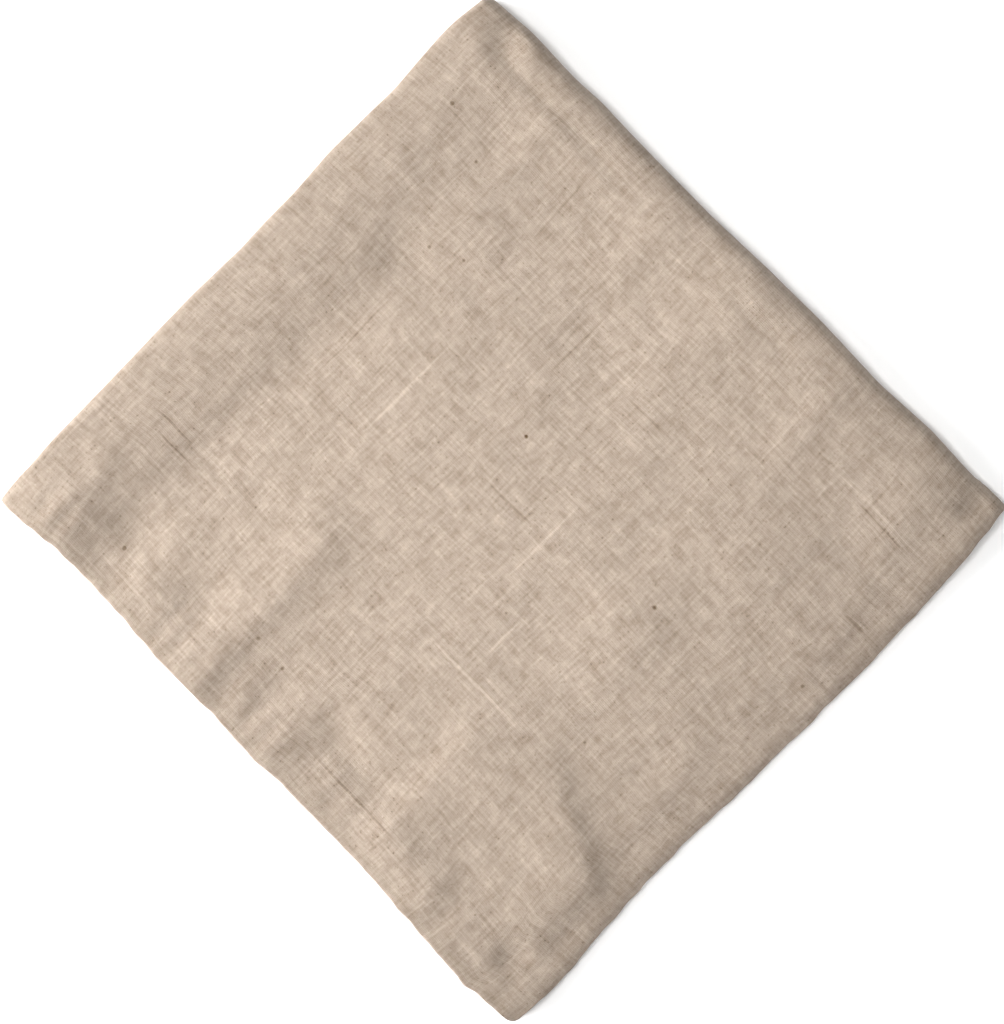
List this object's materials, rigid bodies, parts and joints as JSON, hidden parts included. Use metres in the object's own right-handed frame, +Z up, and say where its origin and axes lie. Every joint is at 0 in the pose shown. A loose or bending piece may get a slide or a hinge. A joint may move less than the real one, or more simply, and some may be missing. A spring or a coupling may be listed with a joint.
{
  "type": "folded cloth napkin",
  "caption": "Square linen table napkin with stitched turned hems, folded in half twice into a flat square of stacked layers for laying at a place setting.",
  "frame": {"origin": "under the middle of the outline, on the surface that the napkin lies on", "axes": "+Z up; the first fold lies along the -X side, the second fold along the +Y side, and the open hemmed edges along +X and -Y"},
  "size_m": [0.2342, 0.2246, 0.0106],
  "materials": {
    "linen": "plain woven natural linen, matt"
  },
  "bodies": {
    "root": {"napkin": "linen"}
  },
  "joints": []
}
